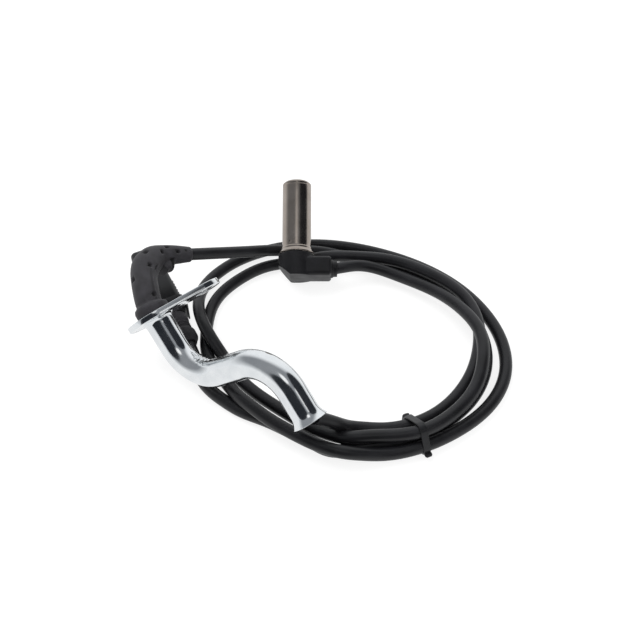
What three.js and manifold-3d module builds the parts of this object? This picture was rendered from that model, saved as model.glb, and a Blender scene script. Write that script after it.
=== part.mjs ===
// Wheel speed sensor on a long coiled cable, with a bent guide tube, its flange plate, a rubber boot,
// a sealed plug connector and a cable tie. Millimetres, +Z up. It lies on the plane z = 0.

import * as THREE from 'three';
import { mergeVertices } from 'three/addons/utils/BufferGeometryUtils.js';
import Module from 'manifold-3d';

const wasm = await Module();
wasm.setup();

// Clearances
const FIT = 0.3;            // gap left wherever one piece touches another
const TAIL_IN = 2;          // how far a free cable starts inside the mouth that it leaves
const CUT_OVER = 1;         // how far a cutting body runs past the face that it opens
const WELD = 1e-4;          // points closer than this are one corner
const STUB_LAP = 0.2;       // how far the stub in the plate runs into the rest of the guide tube

// Fineness of round shapes
const ROUND = 32;
const SMALL_ROUND = 16;
const CORNER_STEPS = 5;
const BOOT_ROUND = 24;
const LINE_READS = 240;     // places read along a curve
const BEND_STEPS = 8;
const BORE_STEPS = 16;

// Cable
const CABLE_D = 6.4;
const CABLE_SIDES = 8;
const CABLE_SKIN = 0.4;     // the plain tube stays this far inside the jacket, clear of crossing strands
const CABLE_STEP = 19;      // about three diameters
const HELD_STEP = 6;        // shorter steps where a bore holds the cable
const LEAD_D = 1.5;

// Sensor, measured from the face of its elbow
const SENSOR_PLACE = [-12.9, 22.9];
const SENSOR_TILT = 30;     // degrees above the floor
const HUB_D = 20;
const HUB_H = 13;
const HUB_CHAMFER = 6.7;
const HUB_FLOOR = 2.4;      // thickness of the closed face of the elbow
const HUB_BORE_D = 13.4;
const ARM_H = 10.8;
const ARM_W = 17;
const ARM_REACH = 19;
const ARM_CORNER = 2.2;
const NOSE_D = 10.2;
const NOSE_REACH = 22.3;
const FOOT_D = 19.4;
const FOOT_H = 3.2;
const SLEEVE_D = 16;
const SLEEVE_WALL = 0.8;
const SLEEVE_H = 38.5;      // above the foot
const TIP_CHAMFER = 1.1;
const TIP_LIP = 1.2;        // rolled-in edge at the tip
const CAP_H = 1.4;
const PIN_D = 5;
const PIN_PROUD = 0.4;
const SPOOL_CORE_D = 7.4;
const SPOOL_FLANGE_D = 13.6;
const SPOOL_FLANGE_H = 1.3;
const SPOOL_H = 22;
const WIRE_COIL_D = 12.6;
const MAGNET_D = 9;
const MAGNET_H = 8;
const CARRIER_WALL_H = 5;   // solid foot of the carrier under its magnet
const STRIP_W = 1.6;
const STRIP_T = 0.5;
const STRIP_APART = 10.6;

// Guide tube: two straight ends joined by a double bend in one plane
const TUBE_D = 14;
const TUBE_WALL = 1.3;
const TUBE_FIRST = 17.1;
const TUBE_BEND_R = 22.5;
const TUBE_BEND_ANGLE = 80.5;
const TUBE_MIDDLE = 16.4;
const TUBE_LAST = 15;
const RIM_D = 17.6;
const RIM_H = 2.6;
const TUBE_PLACE = [-80.5, -23.1];
const TUBE_TURN = [-46.8, -31.2, -40.3];   // degrees about X, then Y, then Z of the turned frame

// Flange plate, brazed on the first end of the tube
const PLATE_T = 2.8;
const PLATE_R = 15;
const EAR_R = 10.5;
const EAR_AWAY = 25.2;
const EAR_ANGLE = 50.9;
const BOLT_D = 6.6;

// Rubber boot: its centre line runs from the back of the flange plate to the cable's exit
const BOOT_LIP_D = 17;
const BOOT_LIP_H = 4;
const BOOT_LIP_SLOPE = 1;
const BOOT_STEM_D = 13;
const BOOT_ELBOW_D = 14.4;
const BOOT_ARM_D = 10;
const BOOT_END_D = 8.6;
const BOOT_STEM_FROM = 8;   // from here on, distances along the centre line
const BOOT_STEM_TO = 21;
const BOOT_ELBOW_FROM = 29.5;
const BOOT_ELBOW_TO = 38;
const BOOT_ARM_FROM = 42.7;
const BOOT_ARM_TO = 51;
const BOOT_LINE = [[0, 0, 5], [-0.5, 3, 13], [-2.7, 8.6, 20.6], [-4.6, 16.3, 26.4], [-4.9, 24.9, 28.1],
  [-3.1, 33, 25.7], [-0.6, 41.9, 21.7]];

// Connector, measured from the mouth of its rear boot towards its open front
const PLUG_PLACE = [-66.8, -23];
const PLUG_TURN = 117;      // degrees about Z
const PLUG_W = 14.4;
const PLUG_H = 13;
const PLUG_CORNER = 3;
const PLUG_WALL = 1.4;
const PLUG_L = 72.5;
const REAR_BOOT_L = 20;
const REAR_BOOT_D = 11.6;
const REAR_BOOT_END_D = 9.8;
const REAR_BUMP_D = 12.2;
const REAR_BUMP_L = 8;      // where the bump ends
const REAR_NECK_TO = 14;    // where the neck after the bump ends
const REAR_LIP_L = 1.5;     // plain end before the bump
const REAR_SLOPE = 1.5;
const SOCKET_L = 24;
const CHAMBER_D = 10;
const CHAMBER_L = 11;
const COLLAR_T = 0.9;
const COLLAR_L = 7;
const COLLAR_AT = 22.5;
const INSERT_W = 8.4;
const INSERT_H = 6.8;
const INSERT_L = 15;
const INSERT_CORNER = 1;
const RING_L = 4;
const CONTACT_D = 1.8;
const CONTACT_APART = 4.2;
const CONTACT_L = 33.5;

// Cable tie: it runs round four strands; each is [along the strap's plane, height]
const TIE_PLACE = [45.9, -77, 0];
const TIE_TURN = -67;
const TIE_STRANDS = [[-7.5, 4.4], [-0.6, 4.4], [1.5, 11.1], [5.5, 4.4]];
const TIE_T = 1;
const TIE_W = 3.6;
const TIE_HEAD = [3.6, 4.4, 3.6];
const TIE_HEAD_AT = [-11.6, 3.4];
const TIE_TAIL_L = 3;
const TIE_TAIL_AT = [10.2, 3.4];
const HULL_STEP = 15;       // degrees

// Routes of the two free cables, chosen by hand
const SENSOR_ROUTE = [
  [12, 28.2, 11.8], [21, 30.7, 10.8], [43, 25.5, 8], [63, 11, 10], [74.5, -6, 14], [80.5, -22.5, 16],
  [80, -38.5, 16], [74, -56, 13.5], [62, -69.5, 11.5], [46, -79, 11], [34.5, -80.5, 10], [23, -81, 10],
  [14, -81, 9], [5.5, -77, 5.3], [-4, -71.5, 3.5], [-14.5, -64.5, 3.5], [-28.5, -54, 3.5], [-40.5, -42, 3.5],
  [-47.5, -31.5, 4], [-57, -18.5, 10], [-62.5, -6, 10], [-65, 7.5, 7], [-62.5, 24, 3.5],
  [-50.5, 39, 3.5], [-32, 50, 3.5], [-13, 55, 3.5], [10.5, 54.5, 3.5], [34.5, 48, 3.5], [56.5, 37, 3.5],
  [74.5, 22, 3.5], [87, 4, 3.5], [94, -17.5, 3.5], [92.5, -40, 3.5], [81.5, -59.5, 3.5],
  [63.5, -74.5, 4], [44, -84, 4.5], [30, -87, 4.5], [19, -88.5, 7], [9, -88.5, 9], [-1, -85, 9],
  [-11.5, -79.5, 9.5], [-22.5, -72.5, 10], [-33, -63.5, 9.5], [-39.5, -56.5, 8], [-45, -48, 5],
  [-51.5, -37.5, 3.5], [-57, -28, 3.5], [-59, -18.5, 3.5], [-59.5, -6.5, 3.5], [-56.5, 11, 3.5],
  [-44.5, 27.5, 3.5], [-28.5, 38, 3.5], [-12.5, 41.5, 3.5], [1, 40.5, 8], [18, 39.2, 9.7],
  [39, 35.5, 10.5], [60.5, 24.5, 10.5], [75.5, 9.5, 10.5], [81.5, -7, 10], [80.5, -26, 9],
  [74, -44, 7], [62, -59, 4.5], [45, -70, 4.5], [30.5, -72.5, 3.5], [21.5, -72.5, 4], [14, -73.5, 6.7],
  [8.5, -75.5, 12], [2.5, -77.5, 18], [-2.5, -80, 23.5]];
const PLUG_ROUTE = [
  [-54, 29.5, 21.5], [-38.5, 36.5, 16], [-25, 42.5, 11.3], [-12.5, 46, 7.6], [0.5, 48, 5],
  [15.5, 45, 3.5], [36.5, 37, 3.5], [55.5, 26.5, 3.5], [71, 13, 3.5], [81, -2.5, 3.5], [85, -19, 3.5],
  [83.5, -35.5, 3.5], [75.5, -53, 3.5], [62.5, -67, 4], [47, -76.5, 4.5], [32.5, -80.5, 3.5],
  [19.5, -82.5, 3.5], [11.5, -84.5, 3.5], [3.5, -84, 3.5], [-3.5, -80, 3.5], [-14, -74, 3.5],
  [-26, -67.5, 3.5], [-38, -62, 3.5], [-46, -56.5, 3.5], [-53, -50.5, 3.5], [-58.3, -43.6, 3.5],
  [-61.7, -35, 4.2], [-64.4, -28.4, 6.1]];

// Finishes
const rubber = { color: 0x444246, roughness: 0.85, metalness: 0 };
const blackPlastic = { color: 0x202022, roughness: 0.45, metalness: 0 };
const greyPlastic = { color: 0x4a4c50, roughness: 0.5, metalness: 0 };
const nylon = { color: 0x18181a, roughness: 0.4, metalness: 0 };
const jacket = { color: 0x1c1c1f, roughness: 0.5, metalness: 0 };
const sleeveMetal = { color: 0x7c7772, roughness: 0.4, metalness: 1 };
const zinc = { color: 0xc4c8cc, roughness: 0.35, metalness: 1 };
const softIron = { color: 0x8e9094, roughness: 0.4, metalness: 1 };
const magnetAlloy = { color: 0x5c5c60, roughness: 0.5, metalness: 1 };
const copper = { color: 0xa8622f, roughness: 0.4, metalness: 1 };
const brass = { color: 0xb59a4c, roughness: 0.35, metalness: 1 };
const silicone = { color: 0x9a4a34, roughness: 0.7, metalness: 0 };

// A closed geometry as a solid: like points are merged and slivers without area are left out.
function solidOf(geometry) {
  const bare = geometry.clone();
  bare.deleteAttribute('normal');
  bare.deleteAttribute('uv');
  const merged = mergeVertices(bare, WELD);
  const corners = merged.index.array;
  const kept = [];
  for (let i = 0; i < corners.length; i += 3) {
    const [a, b, c] = corners.slice(i, i + 3);
    if (a !== b && b !== c && c !== a) {
      kept.push(a, b, c);
    }
  }
  return new wasm.Manifold(new wasm.Mesh({
    numProp: 3,
    vertProperties: Float32Array.from(merged.attributes.position.array),
    triVerts: Uint32Array.from(kept),
  }));
}

function meshOf(name, solid, finish) {
  const { vertProperties, triVerts } = solid.getMesh();
  const geometry = new THREE.BufferGeometry();
  geometry.setAttribute('position', new THREE.BufferAttribute(vertProperties, 3));
  geometry.setIndex(new THREE.BufferAttribute(triVerts, 1));
  geometry.computeVertexNormals();
  const mesh = new THREE.Mesh(geometry, new THREE.MeshStandardMaterial(finish));
  mesh.name = name;
  return mesh;
}

// A profile of [radius, height] corners, listed anticlockwise, turned about Z.
function turned(profile, sides = ROUND) {
  const points = [...profile, profile[0]].map(([r, h]) => new THREE.Vector2(r, h));
  return new THREE.LatheGeometry(points, sides).rotateX(Math.PI / 2);
}

function rod(diameter, low, high, sides = ROUND) {
  return turned([[0, low], [diameter / 2, low], [diameter / 2, high], [0, high]], sides);
}

function pipe(outer, inner, low, high, sides = ROUND) {
  return turned([[inner / 2, low], [outer / 2, low], [outer / 2, high], [inner / 2, high]], sides);
}

function roundedOutline(width, height, corner) {
  const x = width / 2;
  const y = height / 2;
  const outline = new THREE.Shape();
  outline.moveTo(corner - x, -y);
  outline.absarc(x - corner, corner - y, corner, -Math.PI / 2, 0);
  outline.absarc(x - corner, y - corner, corner, 0, Math.PI / 2);
  outline.absarc(corner - x, y - corner, corner, Math.PI / 2, Math.PI);
  outline.absarc(corner - x, corner - y, corner, Math.PI, 1.5 * Math.PI);
  return outline;
}

function raised(outline, depth, steps = CORNER_STEPS) {
  return new THREE.ExtrudeGeometry(outline, { depth, bevelEnabled: false, curveSegments: steps });
}

// A bar of rounded section lying along +X from one place to another, its middle at the given height.
function barAlongX(width, height, corner, from, to, middle = 0) {
  const bar = raised(roundedOutline(width, height, corner), to - from);
  return bar.rotateX(Math.PI / 2).rotateZ(Math.PI / 2).translate(from, 0, middle);
}

function alongX(geometry) {
  return geometry.rotateY(Math.PI / 2);
}

// Carries each ring of a straight turned piece to the same distance along a curve.
function bent(geometry, curve, length) {
  const frames = curve.computeFrenetFrames(LINE_READS, false);
  const place = geometry.attributes.position;
  for (let i = 0; i < place.count; i += 1) {
    const share = Math.min(Math.max(place.getZ(i) / length, 0), 1);
    const step = Math.round(share * LINE_READS);
    const centre = curve.getPointAt(share);
    centre.addScaledVector(frames.normals[step], place.getX(i));
    centre.addScaledVector(frames.binormals[step], place.getY(i));
    place.setXYZ(i, centre.x, centre.y, centre.z);
  }
  return geometry;
}

function evenly(from, to, count) {
  return Array.from({ length: count + 1 }, (_, i) => from + ((to - from) * i) / count);
}

function curveThrough(points) {
  return new THREE.CatmullRomCurve3(points.map((p) => new THREE.Vector3(...p)), false, 'centripetal');
}

const cableSolidR = CABLE_D / 2 - CABLE_SKIN;
const cableBore = CABLE_D + 2 * FIT;

function cableMesh(name, points, step) {
  const route = curveThrough(points);
  const section = new THREE.Shape();
  for (let i = 0; i < CABLE_SIDES; i += 1) {
    const angle = (2 * Math.PI * i) / CABLE_SIDES;
    const corner = [cableSolidR * Math.cos(angle), cableSolidR * Math.sin(angle)];
    if (i === 0) {
      section.moveTo(...corner);
    } else {
      section.lineTo(...corner);
    }
  }
  section.closePath();
  const steps = Math.round(route.getLength() / step);
  const tube = new THREE.ExtrudeGeometry(section, { steps, bevelEnabled: false, extrudePath: route });
  return meshOf(name, solidOf(tube), jacket);
}

// Sensor, built upright: z runs from the face of the elbow to the tip, +x is where the cable leaves.
const footLow = HUB_H + FIT;
const sleeveLow = footLow + FOOT_H;
const tipHigh = sleeveLow + SLEEVE_H;
const sleeveBore = SLEEVE_D - 2 * SLEEVE_WALL;
const coreD = sleeveBore - 2 * FIT;
const capHigh = tipHigh - SLEEVE_WALL - FIT;
const spoolHigh = capHigh - CAP_H - FIT;
const spoolLow = spoolHigh - SPOOL_H;
const carrierHigh = spoolLow - FIT;
const magnetHigh = carrierHigh - FIT;
const magnetLow = magnetHigh - MAGNET_H;
const carrierLow = magnetLow - FIT - CARRIER_WALL_H;
const armMiddle = ARM_H / 2;
const noseReach = Math.max(NOSE_REACH, ARM_REACH + FIT);

function elbowHousing() {
  const hub = solidOf(rod(HUB_D, 0, HUB_H));
  const arm = solidOf(barAlongX(ARM_W, ARM_H, ARM_CORNER, 0, ARM_REACH, armMiddle));
  const nose = solidOf(alongX(rod(NOSE_D, 0, noseReach)).translate(0, 0, armMiddle));
  const corner = new THREE.Shape();
  const edge = -HUB_D / 2 - CUT_OVER;
  corner.moveTo(edge, -CUT_OVER);
  corner.lineTo(HUB_CHAMFER + CUT_OVER - HUB_D / 2, -CUT_OVER);
  corner.lineTo(edge, HUB_CHAMFER + CUT_OVER);
  corner.closePath();
  const slice = raised(corner, HUB_D + 2 * CUT_OVER).rotateX(Math.PI / 2);
  const chamfer = solidOf(slice.translate(0, HUB_D / 2 + CUT_OVER, 0));
  const well = solidOf(rod(HUB_BORE_D, HUB_FLOOR, HUB_H + CUT_OVER));
  const bore = alongX(rod(cableBore, 0, noseReach + CUT_OVER, SMALL_ROUND)).translate(0, 0, armMiddle);
  const body = hub.subtract(chamfer).add(arm).add(nose).subtract(well).subtract(solidOf(bore));
  return meshOf('elbow_housing', body, blackPlastic);
}

function sensorSleeve() {
  const outer = SLEEVE_D / 2;
  const inner = sleeveBore / 2;
  const profile = [
    [inner, footLow], [FOOT_D / 2, footLow], [FOOT_D / 2, footLow + FOOT_H / 3],
    [outer + FOOT_H / 4, sleeveLow - FOOT_H / 6], [outer, sleeveLow + FOOT_H / 4],
    [outer, tipHigh - TIP_CHAMFER], [outer - TIP_CHAMFER, tipHigh], [inner - TIP_LIP, tipHigh],
    [inner - TIP_LIP, tipHigh - SLEEVE_WALL], [inner, tipHigh - SLEEVE_WALL],
  ];
  return meshOf('sensor_sleeve', solidOf(turned(profile)), sleeveMetal);
}

function frontCap() {
  return meshOf('front_cap', solidOf(pipe(coreD, PIN_D + 2 * FIT, capHigh - CAP_H, capHigh)), blackPlastic);
}

function polePin() {
  return meshOf('pole_pin', solidOf(rod(PIN_D, magnetHigh + FIT, tipHigh + PIN_PROUD)), softIron);
}

function coilSpool() {
  const inner = PIN_D / 2 + FIT;
  const core = SPOOL_CORE_D / 2;
  const flange = SPOOL_FLANGE_D / 2;
  const profile = [
    [inner, spoolLow], [flange, spoolLow], [flange, spoolLow + SPOOL_FLANGE_H],
    [core, spoolLow + SPOOL_FLANGE_H], [core, spoolHigh - SPOOL_FLANGE_H],
    [flange, spoolHigh - SPOOL_FLANGE_H], [flange, spoolHigh], [inner, spoolHigh],
  ];
  return meshOf('coil_spool', solidOf(turned(profile)), greyPlastic);
}

function coilWinding() {
  const low = spoolLow + SPOOL_FLANGE_H + FIT;
  const high = spoolHigh - SPOOL_FLANGE_H - FIT;
  return meshOf('coil_winding', solidOf(pipe(WIRE_COIL_D, SPOOL_CORE_D + 2 * FIT, low, high)), copper);
}

function magnet() {
  return meshOf('magnet', solidOf(rod(MAGNET_D, magnetLow, magnetHigh)), magnetAlloy);
}

const stripX = STRIP_APART / 2;
const stripLow = armMiddle - STRIP_W / 2;

function magnetCarrier() {
  const body = solidOf(rod(coreD, carrierLow, carrierHigh));
  const pocket = solidOf(rod(MAGNET_D + 2 * FIT, magnetLow - FIT, carrierHigh + CUT_OVER));
  const slotH = carrierHigh - carrierLow + 2 * CUT_OVER;
  let carrier = body.subtract(pocket);
  for (const side of [-1, 1]) {
    const slot = new THREE.BoxGeometry(STRIP_W + 2 * FIT, STRIP_T + 2 * FIT, slotH);
    slot.translate(0, side * stripX, (carrierHigh + carrierLow) / 2);
    carrier = carrier.subtract(solidOf(slot));
  }
  return meshOf('magnet_carrier', carrier, greyPlastic);
}

function terminalStrip(name, side) {
  const high = spoolLow - FIT;
  const strip = new THREE.BoxGeometry(STRIP_W, STRIP_T, high - stripLow);
  strip.translate(0, side * stripX, (high + stripLow) / 2);
  return meshOf(name, solidOf(strip), brass);
}

function coreLead(name, side) {
  const line = curveThrough([
    [STRIP_W / 2 + FIT, side * stripX, armMiddle],
    [STRIP_W / 2 + LEAD_D, side * stripX, armMiddle],
    [HUB_BORE_D / 2 - LEAD_D, side * (LEAD_D / 2 + FIT), armMiddle],
    [ARM_REACH / 2, side * (LEAD_D / 2 + FIT), armMiddle],
    [noseReach - TAIL_IN - 3 * FIT, side * (LEAD_D / 2 + FIT), armMiddle],
  ]);
  const length = line.getLength();
  const rings = evenly(0, length, SMALL_ROUND);
  const profile = [[0, 0], ...rings.map((h) => [LEAD_D / 2, h]), [0, length]];
  return meshOf(name, solidOf(bent(turned(profile, CABLE_SIDES), line, length)), copper);
}

const sensor = new THREE.Group();
const leanBack = THREE.MathUtils.degToRad(90 - SENSOR_TILT);
sensor.rotation.x = -leanBack;
sensor.position.set(...SENSOR_PLACE, (HUB_D / 2) * Math.sin(leanBack));
sensor.add(elbowHousing(), sensorSleeve(), frontCap(), polePin(), coilSpool(), coilWinding(), magnet());
sensor.add(magnetCarrier(), terminalStrip('terminal_strip_a', 1), terminalStrip('terminal_strip_b', -1));
sensor.add(coreLead('core_lead_a', 1), coreLead('core_lead_b', -1));
sensor.updateMatrixWorld(true);

// Guide tube: the centre line is drawn flat, then stood in the tube's own frame.
const bend = THREE.MathUtils.degToRad(TUBE_BEND_ANGLE);
const tubeLength = TUBE_FIRST + TUBE_MIDDLE + TUBE_LAST + 2 * TUBE_BEND_R * bend;

function tubeLine() {
  const flat = new THREE.Path();
  const [ahead, aside] = [Math.cos(bend), Math.sin(bend)];
  const firstEnd = [TUBE_FIRST + TUBE_BEND_R * aside, TUBE_BEND_R * (1 - ahead)];
  const secondStart = [firstEnd[0] + TUBE_MIDDLE * ahead, firstEnd[1] + TUBE_MIDDLE * aside];
  const secondCentre = [secondStart[0] + TUBE_BEND_R * aside, secondStart[1] - TUBE_BEND_R * ahead];
  const quarter = Math.PI / 2;
  flat.moveTo(0, 0);
  flat.lineTo(TUBE_FIRST, 0);
  flat.absarc(TUBE_FIRST, TUBE_BEND_R, TUBE_BEND_R, -quarter, bend - quarter, false);
  flat.lineTo(...secondStart);
  flat.absarc(...secondCentre, TUBE_BEND_R, quarter + bend, quarter, true);
  flat.lineTo(secondCentre[0] + TUBE_LAST, secondCentre[1] + TUBE_BEND_R);
  return flat;
}

const flatTube = tubeLine();

class TubeCurve extends THREE.Curve {
  getPoint(share, target = new THREE.Vector3()) {
    const point = flatTube.getPointAt(share);
    return target.set(point.y, 0, -point.x);
  }
}

const tubeCurve = new TubeCurve();

function guideTube() {
  const outer = TUBE_D / 2;
  const inner = outer - TUBE_WALL;
  const firstBend = TUBE_FIRST;
  const bendLength = TUBE_BEND_R * bend;
  const secondBend = firstBend + bendLength + TUBE_MIDDLE;
  const flareLow = tubeLength - 2 * RIM_H;
  const rings = [0, ...evenly(firstBend, firstBend + bendLength, BEND_STEPS),
    ...evenly(secondBend, secondBend + bendLength, BEND_STEPS)];
  const profile = [
    ...rings.map((h) => [outer, h]), [outer, flareLow], [RIM_D / 2, tubeLength - RIM_H / 3],
    [RIM_D / 2, tubeLength], [RIM_D / 2 - TUBE_WALL, tubeLength], [inner, flareLow + RIM_H / 2],
    ...rings.reverse().map((h) => [inner, h]),
  ];
  const tube = solidOf(bent(turned(profile, ROUND), tubeCurve, tubeLength));
  const stub = solidOf(pipe(TUBE_D, TUBE_D - 2 * TUBE_WALL, -STUB_LAP, PLATE_T / 2));
  return meshOf('guide_tube', tube.add(stub), zinc);
}

function flangePlate() {
  const ear = THREE.MathUtils.degToRad(EAR_ANGLE);
  const lean = Math.acos((PLATE_R - EAR_R) / EAR_AWAY);
  const earX = EAR_AWAY * Math.cos(ear);
  const earY = EAR_AWAY * Math.sin(ear);
  const outline = new THREE.Shape();
  outline.absarc(0, 0, PLATE_R, ear + lean, ear - lean + 2 * Math.PI, false);
  outline.absarc(earX, earY, EAR_R, ear - lean, ear + lean, false);
  outline.closePath();
  const plate = solidOf(raised(outline, PLATE_T, SMALL_ROUND).translate(0, 0, -PLATE_T / 2));
  const tubeHole = solidOf(rod(TUBE_D + 2 * FIT, -PLATE_T, PLATE_T));
  const boltHole = solidOf(rod(BOLT_D, -PLATE_T, PLATE_T, SMALL_ROUND).translate(earX, earY, 0));
  return meshOf('flange_plate', plate.subtract(tubeHole).subtract(boltHole), zinc);
}

const bootStart = [0, 0, PLATE_T / 2 + FIT];
const bootCurve = curveThrough([bootStart, ...BOOT_LINE]);
const bootLength = bootCurve.getLength();

function rubberBoot() {
  const bore = cableBore / 2 + FIT;
  const profile = [
    [bore, 0], [BOOT_LIP_D / 2, 0], [BOOT_LIP_D / 2, BOOT_LIP_H],
    [BOOT_STEM_D / 2, BOOT_LIP_H + BOOT_LIP_SLOPE],
    ...evenly(BOOT_STEM_FROM, BOOT_STEM_TO, 3).map((h) => [BOOT_STEM_D / 2, h]),
    [BOOT_ELBOW_D / 2, BOOT_ELBOW_FROM], [BOOT_ELBOW_D / 2, BOOT_ELBOW_TO], [BOOT_ARM_D / 2, BOOT_ARM_FROM],
    [BOOT_ARM_D / 2, BOOT_ARM_TO], [BOOT_END_D / 2, bootLength],
    ...evenly(bootLength, 0, BORE_STEPS).slice(0, -1).map((h) => [bore, h]),
  ];
  return meshOf('rubber_boot', solidOf(bent(turned(profile, BOOT_ROUND), bootCurve, bootLength)), rubber);
}

function cableInTube() {
  const inBoot = [...BOOT_LINE].reverse();
  const shares = evenly(0, 1 - (2 * RIM_H) / tubeLength, BORE_STEPS);
  const inTube = shares.map((share) => tubeCurve.getPoint(share).toArray());
  const exit = new THREE.Vector3(...inBoot[0]);
  const before = new THREE.Vector3(...inBoot[1]);
  const inward = before.sub(exit).normalize();
  const start = exit.addScaledVector(inward, TAIL_IN + FIT).toArray();
  return cableMesh('cable_in_tube', [start, ...inBoot.slice(1), ...inTube], HELD_STEP);
}

const tubeGroup = new THREE.Group();
tubeGroup.rotation.set(...TUBE_TURN.map((angle) => THREE.MathUtils.degToRad(angle)));
const lowestLine = Math.min(...evenly(0, 1, LINE_READS).map(
  (share) => tubeCurve.getPoint(share).applyEuler(tubeGroup.rotation).z,
));
tubeGroup.position.set(...TUBE_PLACE, CABLE_D + FIT + TUBE_D / 2 - lowestLine);
tubeGroup.add(guideTube(), flangePlate(), rubberBoot(), cableInTube());
tubeGroup.updateMatrixWorld(true);

// Connector, built along +x from the mouth of its rear boot to its open front.
const housingStart = REAR_BOOT_L + FIT;
const socketStart = PLUG_L - SOCKET_L;
const chamberEnd = housingStart + CHAMBER_L;
const contactStart = chamberEnd + FIT;

function connectorHousing() {
  const shell = solidOf(barAlongX(PLUG_W, PLUG_H, PLUG_CORNER, housingStart, PLUG_L));
  const socketW = PLUG_W - 2 * PLUG_WALL;
  const socketH = PLUG_H - 2 * PLUG_WALL;
  const corner = PLUG_CORNER - PLUG_WALL;
  const socket = solidOf(barAlongX(socketW, socketH, corner, socketStart, PLUG_L + CUT_OVER));
  const chamber = alongX(rod(CHAMBER_D, housingStart - CUT_OVER, chamberEnd));
  let body = shell.subtract(socket).subtract(solidOf(chamber));
  for (const side of [-1, 1]) {
    const hole = alongX(rod(CONTACT_D + 2 * FIT, chamberEnd - CUT_OVER, socketStart + CUT_OVER, SMALL_ROUND));
    body = body.subtract(solidOf(hole.translate(0, (side * CONTACT_APART) / 2, 0)));
  }
  return meshOf('connector_housing', body, blackPlastic);
}

function connectorCollar() {
  const width = PLUG_W + 2 * (FIT + COLLAR_T);
  const to = COLLAR_AT + COLLAR_L;
  const sides = solidOf(barAlongX(width, PLUG_H, PLUG_CORNER, COLLAR_AT, to));
  const innerW = PLUG_W + 2 * FIT;
  const innerH = PLUG_H + 2 * FIT;
  const inner = solidOf(barAlongX(innerW, innerH, PLUG_CORNER, COLLAR_AT - CUT_OVER, to + CUT_OVER));
  const top = PLUG_H / 2 + FIT + COLLAR_T;
  const cover = new THREE.BoxGeometry(COLLAR_L, width, top);
  cover.translate(COLLAR_AT + COLLAR_L / 2, 0, top / 2);
  return meshOf('connector_collar', sides.add(solidOf(cover)).subtract(inner), greyPlastic);
}

function connectorInsert() {
  const from = socketStart + FIT;
  let body = solidOf(barAlongX(INSERT_W, INSERT_H, INSERT_CORNER, from, from + INSERT_L));
  for (const side of [-1, 1]) {
    const hole = alongX(rod(CONTACT_D + 2 * FIT, from - CUT_OVER, from + INSERT_L + CUT_OVER, SMALL_ROUND));
    body = body.subtract(solidOf(hole.translate(0, (side * CONTACT_APART) / 2, 0)));
  }
  return meshOf('connector_insert', body, greyPlastic);
}

function connectorSeal() {
  const from = socketStart + FIT;
  const outerW = PLUG_W - 2 * (PLUG_WALL + FIT);
  const outerH = PLUG_H - 2 * (PLUG_WALL + FIT);
  const ring = solidOf(barAlongX(outerW, outerH, INSERT_CORNER, from, from + RING_L));
  const holeW = INSERT_W + 2 * FIT;
  const holeH = INSERT_H + 2 * FIT;
  const hole = barAlongX(holeW, holeH, INSERT_CORNER, from - CUT_OVER, from + RING_L + CUT_OVER);
  return meshOf('connector_seal', ring.subtract(solidOf(hole)), silicone);
}

function contactPin(name, side) {
  const pin = alongX(rod(CONTACT_D, contactStart, contactStart + CONTACT_L, SMALL_ROUND));
  return meshOf(name, solidOf(pin.translate(0, (side * CONTACT_APART) / 2, 0)), brass);
}

function rearSeal() {
  const seal = pipe(CHAMBER_D - 2 * FIT, cableBore, housingStart + FIT, chamberEnd - FIT, SMALL_ROUND);
  return meshOf('rear_seal', solidOf(alongX(seal)), silicone);
}

function connectorRearBoot() {
  const bore = cableBore / 2;
  const end = REAR_BOOT_END_D / 2;
  const bump = REAR_BUMP_D / 2;
  const profile = [
    [bore + FIT, 0], [end, 0], [end, REAR_LIP_L], [bump, REAR_LIP_L + REAR_SLOPE], [bump, REAR_BUMP_L],
    [end, REAR_BUMP_L + REAR_SLOPE], [end, REAR_NECK_TO], [REAR_BOOT_D / 2, REAR_NECK_TO + REAR_SLOPE],
    [REAR_BOOT_D / 2, REAR_BOOT_L],
    [bore, REAR_BOOT_L], [bore, REAR_BUMP_L],
  ];
  return meshOf('connector_rear_boot', solidOf(alongX(turned(profile, BOOT_ROUND))), rubber);
}

const plug = new THREE.Group();
plug.rotation.z = THREE.MathUtils.degToRad(PLUG_TURN);
plug.position.set(...PLUG_PLACE, PLUG_H / 2);
plug.add(connectorHousing(), connectorCollar(), connectorInsert(), connectorSeal(), rearSeal());
plug.add(contactPin('contact_pin_a', 1), contactPin('contact_pin_b', -1), connectorRearBoot());
plug.updateMatrixWorld(true);

// Cable tie: the strap's outline is the tight hull round its strands, found direction by direction.
function hullOutline(around) {
  const points = [];
  for (let angle = 0; angle < 360; angle += HULL_STEP) {
    const turn = THREE.MathUtils.degToRad(angle);
    const x = Math.cos(turn);
    const y = Math.sin(turn);
    const reach = ([across, up]) => across * x + up * y;
    const furthest = TIE_STRANDS.reduce((best, at) => (reach(at) > reach(best) ? at : best));
    points.push(new THREE.Vector2(furthest[0] + around * x, furthest[1] + around * y));
  }
  return points;
}

function cableTie() {
  const strap = new THREE.Shape(hullOutline(CABLE_D / 2 + TIE_T));
  strap.holes.push(new THREE.Path(hullOutline(CABLE_D / 2)));
  const band = raised(strap, TIE_W).translate(0, 0, -TIE_W / 2);
  const head = new THREE.BoxGeometry(...TIE_HEAD).translate(...TIE_HEAD_AT, 0);
  const tail = new THREE.BoxGeometry(TIE_TAIL_L, TIE_T, TIE_W).translate(...TIE_TAIL_AT, 0);
  const space = raised(new THREE.Shape(hullOutline(CABLE_D / 2)), 2 * TIE_W).translate(0, 0, -TIE_W);
  const tie = solidOf(band).add(solidOf(head)).add(solidOf(tail)).subtract(solidOf(space));
  return meshOf('cable_tie', tie, nylon);
}

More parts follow.
